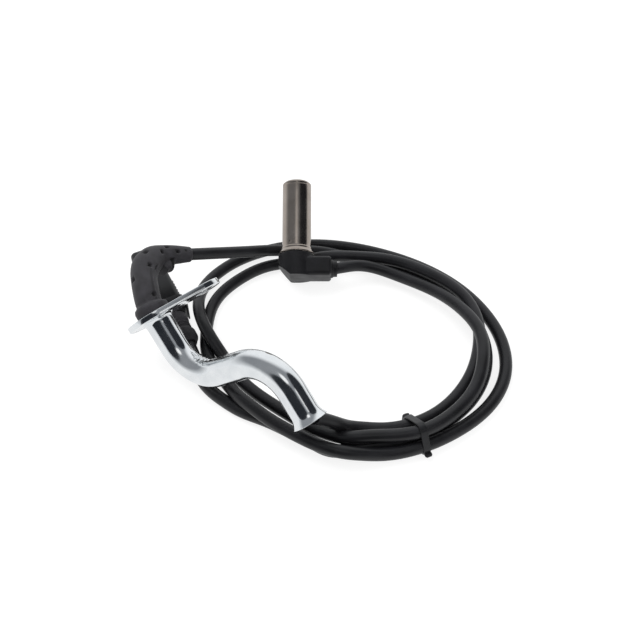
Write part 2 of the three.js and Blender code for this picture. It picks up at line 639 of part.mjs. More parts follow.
const tie = new THREE.Group();
const tieFrame = new THREE.Group();
tieFrame.rotation.x = Math.PI / 2;
tie.rotation.z = THREE.MathUtils.degToRad(TIE_TURN);
tie.position.set(...TIE_PLACE);
tieFrame.add(cableTie());
tie.add(tieFrame);
tie.updateMatrixWorld(true);

// Free cables, from the sensor's nose to the tube's mouth, and from the boot to the connector.
const noseExit = new THREE.Vector3(noseReach - TAIL_IN, 0, armMiddle).applyMatrix4(sensor.matrixWorld);
const bootBefore = bootCurve.getPointAt(1 - TAIL_IN / bootLength);
const bootMouth = bootBefore.applyMatrix4(tubeGroup.matrixWorld);
const plugMouth = new THREE.Vector3(TAIL_IN, 0, 0).applyMatrix4(plug.matrixWorld);
const plugInside = new THREE.Vector3(chamberEnd - FIT, 0, 0).applyMatrix4(plug.matrixWorld);
const sensorCable = cableMesh('cable_sensor_side', [noseExit.toArray(), ...SENSOR_ROUTE], CABLE_STEP);
const plugCable = cableMesh('cable_connector_side',
  [bootMouth.toArray(), ...PLUG_ROUTE, plugMouth.toArray(), plugInside.toArray()], CABLE_STEP);

// The model is set so that the sensor, tube, plate and boot have their middle over the origin.
const model = new THREE.Group();
model.add(sensor, tubeGroup, plug, tie, sensorCable, plugCable);
const reach = new THREE.Box3().expandByObject(sensor, true).expandByObject(tubeGroup, true);
const middle = reach.getCenter(new THREE.Vector3());
model.position.set(-middle.x, -middle.y, 0);

export default model;
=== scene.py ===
"""Wheel speed sensor on a long coiled cable, dressed for a studio picture.

Sizes are in millimetres up to put(), which turns them to metres in the part's own frame."""

import math

import bmesh
import bpy
import numpy as np
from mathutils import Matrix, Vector


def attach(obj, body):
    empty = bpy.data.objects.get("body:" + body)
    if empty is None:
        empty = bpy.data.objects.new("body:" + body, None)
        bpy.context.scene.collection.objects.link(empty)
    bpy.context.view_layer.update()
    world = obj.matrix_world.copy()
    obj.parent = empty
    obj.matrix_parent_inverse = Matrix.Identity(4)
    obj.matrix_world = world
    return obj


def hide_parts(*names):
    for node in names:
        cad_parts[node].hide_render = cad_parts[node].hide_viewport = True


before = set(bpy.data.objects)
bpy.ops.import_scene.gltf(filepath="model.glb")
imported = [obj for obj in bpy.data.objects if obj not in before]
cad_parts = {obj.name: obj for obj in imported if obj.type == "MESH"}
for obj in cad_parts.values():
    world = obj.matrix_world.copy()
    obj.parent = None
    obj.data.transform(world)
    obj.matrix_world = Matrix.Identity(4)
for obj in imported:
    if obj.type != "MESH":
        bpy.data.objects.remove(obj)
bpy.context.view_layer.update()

MM = 0.001
MIDDLE = (43.097, 6.847)      # from the picture's middle on the floor to the part's own origin

# Camera
CAMERA_AWAY = 430
CAMERA_ABOVE = 48             # degrees above the floor
CAMERA_LENS = 45.06
CAMERA_SENSOR = 36

# Cable
CABLE_D = 6.4
TAIL_IN = 2
CABLE_STEP = 1.2
CABLE_SIDES = 28
FIT = 0.3

# Sensor, measured from the face of its elbow
SENSOR_PLACE = (-12.9, 22.9)
SENSOR_TILT = 30
HUB_D = 20
HUB_H = 13
HUB_CHAMFER = 6.7
ARM_H = 10.8
ARM_W = 17
ARM_REACH = 19
ARM_CORNER = 2.2
ARM_BEVEL = 0.8               # round the arm's end, over its last millimetre
NOSE_D = 10.2
NOSE_REACH = 22.3
NOSE_IN = 8                   # how deep the nose starts in the arm
NOSE_STEP = 0.6
ELBOW_VOXEL = 0.28
FOOT_D = 19.4
FOOT_H = 3.2
SLEEVE_D = 16
SLEEVE_WALL = 0.8
SLEEVE_H = 38.5
TIP_CHAMFER = 1.1
TIP_LIP = 1.2
CAP_H = 1.4
PIN_D = 5
PIN_PROUD = 0.4
PUNCH_AT = (5.6, 245)         # height over the foot's lower edge, angle round the barrel in degrees
PUNCH_R = 0.7
PUNCH_DEPTH = 0.3

# Guide tube
TUBE_D = 14
TUBE_WALL = 1.3
TUBE_FIRST = 17.1
TUBE_BEND_R = 22.5
TUBE_BEND_ANGLE = 80.5
TUBE_MIDDLE = 16.4
TUBE_LAST = 15
RIM_D = 17.6
RIM_H = 2.6
RIM_POWER = 2.2               # how late the mouth flares
BRAZE_R = 1.8                 # fillet of braze at the plate
BRAZE_FADE = 0.8
CREASE_AT = 0.72              # share of the first bend
CREASE_SPREAD = 6
CREASE_STEP = 3.4
CREASE_DEPTH = 0.12
TUBE_PLACE = (-80.5, -23.1, 28.284)
TUBE_TURN = (-46.8, -31.2, -40.3)

# Flange plate
PLATE_T = 2.8
PLATE_EDGE = 0.35             # roll of the stamped edge
PLATE_R = 15
EAR_R = 10.5
EAR_AWAY = 25.2
EAR_ANGLE = 50.9
BOLT_D = 6.6

# Rubber boot
BOOT_LIP_D = 17
BOOT_LIP_H = 4
BOOT_STEM_D = 13
BOOT_ELBOW_D = 14.4
BOOT_ARM_D = 10
BOOT_END_D = 8.6
BOOT_LINE = [[0, 0, 5], [-0.5, 3, 13], [-2.7, 8.6, 20.6], [-4.6, 16.3, 26.4], [-4.9, 24.9, 28.1],
             [-3.1, 33, 25.7], [-0.6, 41.9, 21.7]]
# Pits: distance along the boot, angle round it in degrees, half length, half width, depth
BOOT_PITS = [(24.6, 83, 1.2, 1.2, 1.3), (40.6, 88, 1.2, 1.2, 1.3), (50.7, 95, 1.2, 1.1, 1.2),
             (55.4, 88, 0.7, 0.7, 0.4), (47.1, 150, 1.5, 1.4, 1.3), (48.2, 195, 0.8, 0.8, 0.8),
             (7.5, 88, 1.0, 1.2, 1.1), (25.8, 116, 2.4, 0.45, 0.8), (32.6, 43, 1.2, 1.2, 1.2),
             (45.6, 58, 1.2, 1.0, 1.1), (17.6, 0, 1.2, 1.2, 1.2), (24.6, 277, 1.2, 1.2, 1.3),
             (40.6, 272, 1.2, 1.2, 1.3), (50.7, 265, 1.2, 1.1, 1.2), (7.5, 272, 1.0, 1.2, 1.1)]
BOOT_LUG = (43.5, 190, 5.2, 4.2, 3.8)      # the same five numbers, standing out
BOOT_SEAM = (5, 23, 98, 0.3)               # from, to, angle, height
SEAM_R = 0.3
SEAM_SHADE = (0.9, 0.5, 0.6)               # painted shade beside the seam: distance, half width, darkness

# Connector, measured from the mouth of its rear boot
PLUG_PLACE = (-66.8, -23)
PLUG_TURN = 117
PLUG_W = 14.4
PLUG_H = 13
PLUG_CORNER = 3
PLUG_WALL = 1.4
PLUG_L = 72.5
REAR_BOOT_L = 20
REAR_BOOT_D = 11.6
REAR_BOOT_END_D = 9.8
REAR_BUMP_D = 12.2
REAR_BUMP_L = 8
REAR_NECK_TO = 14
SOCKET_L = 24
CHAMBER_L = 11
COLLAR_T = 0.9
COLLAR_L = 7
COLLAR_AT = 22.5
RIB_STEP = 2.4
RIB_T = 1.15
RIB_SHORT = 6                 # how much shorter a rib is than the side it stands on
RAMP_IN = 4                   # from the socket's bottom to the latch ramp
RAMP_L = 4.2
RAMP_W = 4
GRIP_STEP = 1.8
GRIP_PROUD = 0.45

# Cable tie
TIE_PLACE = (45.9, -77)
TIE_TURN = -67
TIE_STRANDS = [(-7.5, 4.4), (-0.6, 4.4), (1.5, 11.1), (5.5, 4.4)]
TIE_T = 1
TIE_W = 3.6
TIE_EDGE = 0.25
TIE_TOOTH = 0.7
TIE_HEAD = (3.6, 4.4, 3.6)
TIE_HEAD_AT = (-11.6, 3.4)
TIE_TAIL_L = 3
TIE_TAIL_AT = (10.2, 3.4)

# Routes of the two free cables
SENSOR_ROUTE = [
    [12, 28.2, 11.8], [21, 30.7, 10.8], [43, 25.5, 8], [63, 11, 10], [74.5, -6, 14], [80.5, -22.5, 16],
    [80, -38.5, 16], [74, -56, 13.5], [62, -69.5, 11.5], [46, -79, 11], [34.5, -80.5, 10], [23, -81, 10],
    [14, -81, 9], [5.5, -77, 5.3], [-4, -71.5, 3.5], [-14.5, -64.5, 3.5], [-28.5, -54, 3.5],
    [-40.5, -42, 3.5], [-47.5, -31.5, 4], [-57, -18.5, 10], [-62.5, -6, 10], [-65, 7.5, 7],
    [-62.5, 24, 3.5], [-50.5, 39, 3.5], [-32, 50, 3.5], [-13, 55, 3.5], [10.5, 54.5, 3.5],
    [34.5, 48, 3.5], [56.5, 37, 3.5], [74.5, 22, 3.5], [87, 4, 3.5], [94, -17.5, 3.5], [92.5, -40, 3.5],
    [81.5, -59.5, 3.5], [63.5, -74.5, 4], [44, -84, 4.5], [30, -87, 4.5], [19, -88.5, 7], [9, -88.5, 9],
    [-1, -85, 9], [-11.5, -79.5, 9.5], [-22.5, -72.5, 10], [-33, -63.5, 9.5], [-39.5, -56.5, 8],
    [-45, -48, 5], [-51.5, -37.5, 3.5], [-57, -28, 3.5], [-59, -18.5, 3.5], [-59.5, -6.5, 3.5],
    [-56.5, 11, 3.5], [-44.5, 27.5, 3.5], [-28.5, 38, 3.5], [-12.5, 41.5, 3.5], [1, 40.5, 8],
    [18, 39.2, 9.7], [39, 35.5, 10.5], [60.5, 24.5, 10.5], [75.5, 9.5, 10.5], [81.5, -7, 10],
    [80.5, -26, 9], [74, -44, 7], [62, -59, 4.5], [45, -70, 4.5], [30.5, -72.5, 3.5], [21.5, -72.5, 4],
    [14, -73.5, 6.7], [8.5, -75.5, 12], [2.5, -77.5, 18], [-2.5, -80, 23.5]]
PLUG_ROUTE = [
    [-54, 29.5, 21.5], [-38.5, 36.5, 16], [-25, 42.5, 11.3], [-12.5, 46, 7.6], [0.5, 48, 5],
    [15.5, 45, 3.5], [36.5, 37, 3.5], [55.5, 26.5, 3.5], [71, 13, 3.5], [81, -2.5, 3.5], [85, -19, 3.5],
    [83.5, -35.5, 3.5], [75.5, -53, 3.5], [62.5, -67, 4], [47, -76.5, 4.5], [32.5, -80.5, 3.5],
    [19.5, -82.5, 3.5], [11.5, -84.5, 3.5], [3.5, -84, 3.5], [-3.5, -80, 3.5], [-14, -74, 3.5],
    [-26, -67.5, 3.5], [-38, -62, 3.5], [-46, -56.5, 3.5], [-53, -50.5, 3.5], [-58.3, -43.6, 3.5],
    [-61.7, -35, 4.2], [-64.4, -28.4, 6.1]]


def turning(x=0, y=0, z=0):
    """The rotation matrix of a turn about X, then about the turned Y and Z, by angles in degrees."""
    a, b, c = np.radians([x, y, z])
    about_x = np.array([[1, 0, 0], [0, np.cos(a), -np.sin(a)], [0, np.sin(a), np.cos(a)]])
    about_y = np.array([[np.cos(b), 0, np.sin(b)], [0, 1, 0], [-np.sin(b), 0, np.cos(b)]])
    about_z = np.array([[np.cos(c), -np.sin(c), 0], [np.sin(c), np.cos(c), 0], [0, 0, 1]])
    return about_x @ about_y @ about_z


def standing(turn, x, y, z):
    """Where a sub-part stands: its rotation and the place of its own origin."""
    return turn, np.array([x + MIDDLE[0], y + MIDDLE[1], z])


lean_back = math.radians(90 - SENSOR_TILT)
LAYOUT = standing(np.eye(3), 0, 0, 0)
SENSOR = standing(turning(x=SENSOR_TILT - 90), *SENSOR_PLACE, HUB_D / 2 * math.sin(lean_back))
TUBE = standing(turning(*TUBE_TURN), *TUBE_PLACE)
PLUG = standing(turning(z=PLUG_TURN), *PLUG_PLACE, PLUG_H / 2)
TIE = standing(turning(z=TIE_TURN) @ turning(x=90), *TIE_PLACE, 0)


def put(points, place):
    """Millimetres in a sub-part's own frame to metres in the part's frame."""
    turn, origin = place
    return (np.asarray(points, float) @ turn.T + origin) * MM


def in_layout(points, place):
    """Millimetres in a sub-part's own frame to millimetres in the frame of the routes."""
    turn, origin = place
    return np.asarray(points, float) @ turn.T + origin - LAYOUT[1]


def spline(points, step):
    """The natural cubic spline through the points, read every step along it. Its parameter is the
    distance between points, and its second derivative is found by solving the usual linear system."""
    p = np.asarray(points, float)
    gaps = np.linalg.norm(np.diff(p, axis=0), axis=1)
    at = np.concatenate([[0], np.cumsum(gaps)])
    count = len(p)
    inner = np.arange(1, count - 1)
    system = np.zeros((count, count))
    system[0, 0] = system[-1, -1] = 1
    system[inner, inner - 1] = gaps[:-1]
    system[inner, inner] = 2 * (gaps[:-1] + gaps[1:])
    system[inner, inner + 1] = gaps[1:]
    slopes = np.diff(p, axis=0) / gaps[:, None]
    right = np.zeros_like(p)
    right[1:-1] = 6 * np.diff(slopes, axis=0)
    second = np.linalg.solve(system, right)
    fine = np.linspace(0, at[-1], 40 * count)
    k = np.clip(np.searchsorted(at, fine, side="right") - 1, 0, count - 2)
    a = ((at[k + 1] - fine) / gaps[k])[:, None]
    b = 1 - a
    h = gaps[k][:, None]
    line = a * p[k] + b * p[k + 1] + ((a ** 3 - a) * second[k] + (b ** 3 - b) * second[k + 1]) * h ** 2 / 6
    run = distance_along(line)
    reads = np.linspace(0, run[-1], max(2, round(run[-1] / step) + 1))
    return np.stack([np.interp(reads, run, line[:, i]) for i in range(3)], axis=1)


def unit(vectors):
    return vectors / np.linalg.norm(vectors, axis=-1, keepdims=True)


def distance_along(line):
    return np.concatenate([[0], np.cumsum(np.linalg.norm(np.diff(line, axis=0), axis=1))])


def faces_of(rows, columns, ring=False):
    """Four-sided faces between neighbouring points of a grid that closes round its columns; with ring,
    its last row joins its first too."""
    r, c = np.meshgrid(np.arange(rows if ring else rows - 1), np.arange(columns), indexing="ij")
    r, c = r.ravel(), c.ravel()
    r_next, c_next = (r + 1) % rows, (c + 1) % columns
    corners = (r * columns + c, r * columns + c_next, r_next * columns + c_next, r_next * columns + c)
    return np.stack(corners, axis=1)


def shell_of(points, angle, run, ring=False):
    """A grid of points as a shell for piece(): its points, its faces, and the grain that a finish may
    follow, which is the cosine and sine of the angle round it and the distance along it."""
    run = np.broadcast_to(run, points.shape[:2])
    grain = np.stack([np.cos(angle) + 0 * run, np.sin(angle) + 0 * run, run], axis=2)
    return points.reshape(-1, 3), faces_of(*points.shape[:2], ring), grain.reshape(-1, 3)


def plain_shell(points, ring=False):
    """A grid of points as a shell whose finish follows no grain."""
    return points.reshape(-1, 3), faces_of(*points.shape[:2], ring), np.zeros((points.size // 3, 3))


def spokes(angle, side, lift):
    """Unit vectors round a line: cos of the angle times side plus sin of it times lift."""
    return np.cos(angle)[None, :, None] * side[:, None] + np.sin(angle)[None, :, None] * lift[:, None]


def carried(line, radius, sides):
    """A round section carried along a line: each point is the line's point plus the radius times the
    spoke at its angle. The side direction is level and square to the line, and both ends close on it."""
    along = unit(np.gradient(line, axis=0))
    side = unit(np.cross(np.array([0.0, 0.0, 1.0]), along))
    lift = np.cross(along, side)
    angle = np.linspace(0, 2 * np.pi, sides, endpoint=False)
    points = line[:, None] + radius * spokes(angle, side, lift)
    ends = np.repeat(line[[0, -1], None], sides, axis=1)
    points = np.concatenate([ends[:1], points, ends[1:]])
    run = distance_along(line)[:, None]
    run = np.concatenate([run[:1], run, run[-1:]])
    return shell_of(points, angle, run)


def softened(corners, closed, steps=5):
    """A profile whose corners (a, b, radius) are rounded: each becomes a quadratic Bezier curve that
    starts and ends its radius away from the corner on the two edges there."""
    spots = np.array([c[:2] for c in corners], float)
    rows = []
    for i, (a, b, radius) in enumerate(corners):
        if radius == 0 or (not closed and i in (0, len(corners) - 1)):
            rows.append([[a, b]])
            continue
        before = spots[i - 1] - spots[i]
        after = spots[(i + 1) % len(corners)] - spots[i]
        start = spots[i] + radius * before / np.linalg.norm(before)
        end = spots[i] + radius * after / np.linalg.norm(after)
        t = np.linspace(0, 1, steps + 1)[:, None]
        rows.append((1 - t) ** 2 * start + 2 * t * (1 - t) * spots[i] + t ** 2 * end)
    return np.concatenate(rows)


def turned(profile, sides=96, ring=False):
    """A profile of (radius, height) points turned about Z: x is radius times cos, y radius times sin."""
    profile = np.asarray(profile, float)
    angle = np.linspace(0, 2 * np.pi, sides, endpoint=False)
    radius, height = profile[:, :1], profile[:, 1:]
    flat = np.ones((1, sides))
    points = np.stack([radius * np.cos(angle), radius * np.sin(angle), height * flat], axis=2)
    return shell_of(points, angle, distance_along(profile)[:, None], ring)


CLOSED = (0.1, 0.1, 0.05)     # the width, height and corner that close the end of a bar


def bar(stations, sides=64):
    """A bar of rounded box section along X. Each station is (x, width, height, corner): with the angle
    round the section, a point is the corner circle's point moved out to the corner's centre."""
    angle = np.linspace(0, 2 * np.pi, sides, endpoint=False) + np.pi / sides
    cos, sin = np.cos(angle), np.sin(angle)
    x, width, height, corner = (np.array(stations, float)[:, i][:, None] for i in range(4))
    y = corner * cos + (width / 2 - corner) * np.sign(cos)
    z = corner * sin + (height / 2 - corner) * np.sign(sin)
    return shell_of(np.stack([x + 0 * y, y, z], axis=2), angle, x)


def moved(shell, x=0, y=0, z=0, turn=None):
    points, faces, grain = shell
    points = points if turn is None else points @ turn.T
    return points + np.array([x, y, z], float), faces, grain


ALONG_X = turning(y=90)


def points_of(mesh):
    """A mesh's points as an array of one row each."""
    points = np.zeros(len(mesh.vertices) * 3, np.float32)
    mesh.vertices.foreach_get("co", points)
    return points.reshape(-1, 3)


def set_in_place(mesh, place):
    """Moves a mesh's points from millimetres in a sub-part's own frame to their place in the part."""
    mesh.vertices.foreach_set("co", put(points_of(mesh), place).astype(np.float32).ravel())


def cleaned(mesh, merge):
    """Merges points that lie nearer than merge, and turns the faces outwards."""
    work = bmesh.new()
    work.from_mesh(mesh)
    bmesh.ops.remove_doubles(work, verts=work.verts, dist=merge)
    bmesh.ops.recalc_face_normals(work, faces=work.faces)
    work.to_mesh(mesh)
    work.free()


def dressed(made, material, stands_for, sharp):
    """Gives a piece its shading and finish, and sets it on the body in place of its CAD nodes."""
    made.data.polygons.foreach_set("use_smooth", np.ones(len(made.data.polygons), bool))
    made.data.set_sharp_from_angle(angle=math.radians(sharp))
    made.data.materials.clear()
    made.data.materials.append(material)
    made.data.update()
    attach(made, "root")
    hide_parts(*stands_for)
    return made


def piece(name, shells, place, material, stands_for, sharp=40, voxel=0, painted_shade=None):
    """One object from one or more shells. Points that meet are merged and the faces turned outwards.
    With a voxel size, the shells are fused into one moulded skin of that fineness. painted_shade gives how
    much painted shade darkens each point."""
    start = np.cumsum([0] + [len(s[0]) for s in shells])
    points = np.concatenate([s[0] for s in shells])
    faces = np.concatenate([s[1] + start[i] for i, s in enumerate(shells)])
    mesh = bpy.data.meshes.new(name)
    mesh.from_pydata(points.tolist(), [], faces.tolist())
    grain = mesh.attributes.new("grain", "FLOAT_VECTOR", "POINT")
    grain.data.foreach_set("vector", np.concatenate([s[2] for s in shells]).astype(np.float32).ravel())
    if painted_shade is not None:
        hollow = mesh.attributes.new("hollow", "FLOAT", "POINT")
        hollow.data.foreach_set("value", np.asarray(painted_shade, np.float32))
    cleaned(mesh, 1e-4)
    made = bpy.data.objects.new(name, mesh)
    bpy.context.scene.collection.objects.link(made)
    if voxel:
        fused(made, voxel)
    set_in_place(made.data, place)
    return dressed(made, material, stands_for, sharp)


def fused(made, voxel):
    """Fuses a mesh's shells into one skin, whose edges are rounded by about one voxel."""
    for kind, settings in (("REMESH", {"mode": "VOXEL", "voxel_size": voxel}),
                           ("SMOOTH", {"factor": 0.5, "iterations": 3})):
        step = made.modifiers.new(kind.lower(), kind)
        for key, value in settings.items():
            setattr(step, key, value)
    shown = made.evaluated_get(bpy.context.evaluated_depsgraph_get())
    mesh = bpy.data.meshes.new_from_object(shown)
    made.modifiers.clear()
    made.data = mesh


def linear(hex_colour):
    """An sRGB hex colour as linear red, green, blue and alpha."""
    value = hex_colour.lstrip("#")
    shares = [int(value[i:i + 2], 16) / 255 for i in (0, 2, 4)]
    return [s / 12.92 if s <= 0.04045 else ((s + 0.055) / 1.055) ** 2.4 for s in shares] + [1.0]


def add_node(tree, kind, inputs=None, **settings):
    """Adds a node with its settings, and sets or links its inputs."""
    made = tree.nodes.new("ShaderNode" + kind)
    for name, value in settings.items():
        setattr(made, name, value)
    for name, value in (inputs or {}).items():
        if isinstance(value, bpy.types.NodeSocket):
            tree.links.new(value, made.inputs[name])
        else:
            made.inputs[name].default_value = value
    return made


def finish(name, dark, light, patch_mm, rough, bump_mm, bump_depth, metallic=0, specular=0.5, grain=None,
           hollow=0.0, coat=0.0, sheen=0.0):
    """A finish from its two near colours, mixed in patches of a real size, a roughness that varies with them,
    and a bump whose grain has a real size too. grain stretches that bump along the surface's own directions,
    and hollow mixes painted shade, a near-black, into the pits and grooves that a mesh marks."""
    made = bpy.data.materials.new(name)
    made.use_nodes = True
    tree = made.node_tree
    tree.nodes.clear()
    place = add_node(tree, "TexCoord").outputs["Object"]
    patches = add_node(tree, "TexNoise", {"Vector": place, "Scale": 1 / (patch_mm * MM), "Detail": 4.0})
    tint = add_node(tree, "ValToRGB", {"Fac": patches.outputs["Fac"]})
    tint.color_ramp.elements[0].color = linear(dark)
    tint.color_ramp.elements[1].color = linear(light)
    tint.color_ramp.elements[0].position = 0.35
    tint.color_ramp.elements[1].position = 0.68
    colour = tint.outputs["Color"]
    # painted shade: a near-black mixed into the colour where the mesh marks hollows
    if hollow:
        pit = add_node(tree, "Attribute", attribute_name="hollow")
        colour = add_node(tree, "MixRGB", {"Fac": pit.outputs["Fac"], "Color1": colour,
                                           "Color2": linear("#0b0b0c")}).outputs["Color"]
    fine_at = place
    scale = 1 / (bump_mm * MM)
    if grain:
        own = add_node(tree, "Attribute", attribute_name="grain").outputs["Vector"]
        fine_at = add_node(tree, "Mapping", {"Vector": own, "Scale": grain}).outputs["Vector"]
        scale = 1.0
    fine = add_node(tree, "TexNoise", {"Vector": fine_at, "Scale": scale, "Detail": 3.0})
    bump = add_node(tree, "Bump", {"Height": fine.outputs["Fac"], "Strength": 0.6,
                                   "Distance": bump_depth * MM})
    rough_at = add_node(tree, "MapRange", {"Value": patches.outputs["Fac"], "From Min": 0.3, "From Max": 0.7,
                                           "To Min": rough[0], "To Max": rough[1]})
    shader = add_node(tree, "BsdfPrincipled", {
        "Base Color": colour, "Roughness": rough_at.outputs["Result"], "Metallic": metallic,
        "Specular IOR Level": specular, "Normal": bump.outputs["Normal"], "Coat Weight": coat,
        "Sheen Weight": sheen})
    out = add_node(tree, "OutputMaterial", {"Surface": shader.outputs["BSDF"]})
    out.is_active_output = True
    return made


# Polyurethane jacket, extruded: satin black with faint lengthwise drag lines
jacket = finish("extruded_polyurethane", "#141416", "#1e1e21", 14, (0.33, 0.42), 0.4, 0.05, specular=0.42,
                grain=(3.0, 3.0, 0.12))
# Glass-filled nylon, moulded: near-black, finely eroded mould surface
nylon = finish("glass_filled_nylon", "#101012", "#17171a", 6, (0.42, 0.55), 0.5, 0.04, specular=0.4)
# EPDM rubber, moulded: soft dark grey, dry and slightly blooming, with painted shade in its pits and beside
# its seam
epdm = finish("moulded_epdm", "#29282b", "#353438", 5, (0.58, 0.72), 0.6, 0.05, specular=0.3, hollow=1.0,
              sheen=0.1)
# Steel, bright zinc plated: nearly white and faintly blue, mirror-like with soft edges
zinc = finish("bright_zinc_plate", "#e9ecee", "#f5f7f8", 7, (0.11, 0.16), 2.5, 0.006, metallic=1.0)
# Steel sleeve, drawn and dull nickel plated: warm grey, polished round the barrel
nickel = finish("dull_nickel_sleeve", "#a2988f", "#b0a69e", 9, (0.19, 0.24), 0.3, 0.003, metallic=1.0,
                grain=(0.6, 0.6, 3.0))
# Nylon 6.6 strap, moulded: black with a faint gloss
strap = finish("moulded_nylon_strap", "#131315", "#1d1d20", 4, (0.34, 0.44), 0.5, 0.04, specular=0.45)
# Polybutylene, moulded: mid grey inner parts
pbt = finish("moulded_pbt", "#43464b", "#50535a", 4, (0.45, 0.55), 0.5, 0.04)
# Silicone rubber, moulded: brick-red seals
silicone = finish("moulded_silicone", "#8a3f2c", "#9f4d38", 3, (0.55, 0.65), 0.5, 0.04, specular=0.4)
# Soft iron, turned: bare grey metal, slightly dull
iron = finish("turned_soft_iron", "#85878c", "#9b9da2", 2, (0.28, 0.36), 0.3, 0.03, metallic=1.0)
# Sintered magnet, ground: dark metallic grey
sinter = finish("ground_sintered_magnet", "#4c4c50", "#5d5d62", 1.5, (0.4, 0.5), 0.4, 0.03, metallic=1.0)
# Enamelled copper wire: brown-orange lacquer over metal
enamel = finish("enamelled_copper", "#94521f", "#b0692f", 0.8, (0.28, 0.36), 0.4, 0.05, metallic=1.0,
                coat=0.6)
# Brass, stamped: bright yellow contact metal
brass = finish("stamped_brass", "#a98d3f", "#c5a95a", 2, (0.26, 0.34), 0.4, 0.02, metallic=1.0)


def set_camera():
    """A camera on a line from the picture's middle, tilted down to it."""
    away = math.radians(CAMERA_ABOVE)
    back = np.array([0, -math.cos(away), math.sin(away)])
    data = bpy.data.cameras.new("camera")
    data.lens = CAMERA_LENS
    data.sensor_width = CAMERA_SENSOR
    camera = bpy.data.objects.new("camera", data)
    camera.location = Vector(put(CAMERA_AWAY * back, LAYOUT))
    camera.rotation_mode = "QUATERNION"
    camera.rotation_quaternion = Vector(-back).to_track_quat("-Z", "Y")
    bpy.context.scene.collection.objects.link(camera)
    bpy.context.scene.camera = camera


def cable(name, line, stands_for):
    """A round jacket carried along the line."""
    shell = carried(line, CABLE_D / 2, CABLE_SIDES)
    return piece(name, [shell], LAYOUT, jacket, stands_for)


def tube_line(run):
    """The guide tube's centre line, read at distances along it: straight, an arc one way, straight, the
    same arc back, straight. It starts at the plate and runs down the tube's own -Z."""
    bend = math.radians(TUBE_BEND_ANGLE)
    arc = TUBE_BEND_R * bend
    run = np.asarray(run, float)
    first = np.clip(run - TUBE_FIRST, 0, arc) / TUBE_BEND_R
    second = np.clip(run - TUBE_FIRST - arc - TUBE_MIDDLE, 0, arc) / TUBE_BEND_R
    straight = np.clip(run - TUBE_FIRST - arc, 0, TUBE_MIDDLE)
    start = np.minimum(run, TUBE_FIRST)
    after = np.maximum(run - TUBE_FIRST - 2 * arc - TUBE_MIDDLE, 0)
    away = start + TUBE_BEND_R * np.sin(first) + straight * math.cos(bend) + after
    away = away + TUBE_BEND_R * (math.sin(bend) - np.sin(bend - second))
    aside = TUBE_BEND_R * (1 - np.cos(first)) + straight * math.sin(bend)
    aside = aside + TUBE_BEND_R * (np.cos(bend - second) - math.cos(bend))
    return np.stack([aside, 0 * aside, -away], axis=1)


TUBE_L = TUBE_FIRST + TUBE_MIDDLE + TUBE_LAST + 2 * TUBE_BEND_R * math.radians(TUBE_BEND_ANGLE)
boot_path = spline([[0, 0, PLATE_T / 2 + FIT], *BOOT_LINE], 0.5)
BOOT_L = distance_along(boot_path)[-1]


def cords(on_sensor_side, on_connector_side):
    """The two free cables; the pieces passed in for each are not used."""
    reach = max(NOSE_REACH, ARM_REACH + FIT) - TAIL_IN
    nose = in_layout([reach, 0, ARM_H / 2], SENSOR)
    boot = in_layout(boot_path[np.searchsorted(distance_along(boot_path), BOOT_L - TAIL_IN)], TUBE)
    mouth = in_layout([TAIL_IN, 0, 0], PLUG)
    inside = in_layout([REAR_BOOT_L + CHAMBER_L, 0, 0], PLUG)
    in_plug = [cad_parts[n] for n in ("connector_insert", "connector_seal", "rear_seal",
                                           "contact_pin_a", "contact_pin_b")]
    for name, points, far_end, with_pieces in (
            ("cable_sensor_side", [nose, *SENSOR_ROUTE], "object", on_sensor_side),
            ("cable_connector_side", [boot, *PLUG_ROUTE, mouth, inside], "connector",
             in_plug + on_connector_side)):
        line = spline(points, CABLE_STEP)
        line[:, 2] = np.maximum(line[:, 2], CABLE_D / 2)
        made = cable(name.replace("cable", "jacket"), line, [name])


def held_cable():
    """The stretch of cable that the boot and the tube hold."""
    held = np.concatenate([boot_path[::-1][4:-4], tube_line(np.arange(0, TUBE_L - 2 * RIM_H, 0.5))])
    cable("jacket_in_tube", in_layout(held, TUBE), ["cable_in_tube"])


def elbow():
    """Elbow: a chamfered hub, an arm of rounded section and the stepped nose, fused as one moulding.
    Hub points past the chamfer's plane are moved onto it."""
    flat_face = [(r, 0) for r in np.linspace(0, HUB_D / 2, 30)]
    wall = [(HUB_D / 2, z) for z in np.linspace(0, HUB_H, 30)]
    points, faces, grain = turned([*flat_face, *wall, (0, HUB_H)], 128)
    past = np.maximum(HUB_CHAMFER - (points[:, 0] + HUB_D / 2) - points[:, 2], 0) / 2
    points = points + past[:, None] * np.array([1, 0, 1])
    arm = moved(bar([(0, *CLOSED), (0, ARM_W, ARM_H, ARM_CORNER), (ARM_REACH - 1, ARM_W, ARM_H, ARM_CORNER),
                     (ARM_REACH, ARM_W - 2 * ARM_BEVEL, ARM_H - 2 * ARM_BEVEL, ARM_CORNER - ARM_BEVEL),
                     (ARM_REACH, *CLOSED)]), z=ARM_H / 2)
    bore = CABLE_D / 2 + 0.05
    wide, slim = NOSE_D / 2, NOSE_D / 2 - NOSE_STEP
    nose = turned(softened([(0, ARM_REACH - NOSE_IN, 0), (wide, ARM_REACH - NOSE_IN, 0),
                            (wide, ARM_REACH + 0.8, 0.2), (slim, ARM_REACH + 1.2, 0.2),
                            (slim, NOSE_REACH, 0.4), (bore, NOSE_REACH, 0.2),
                            (bore, NOSE_REACH - TAIL_IN, 0.2), (0, NOSE_REACH - TAIL_IN, 0)], False), 96)
    nose = moved(nose, z=ARM_H / 2, turn=ALONG_X)
    return piece("elbow_moulding", [(points, faces, grain), arm, nose], SENSOR, nylon,
                 ["elbow_housing"], sharp=60, voxel=ELBOW_VOXEL)


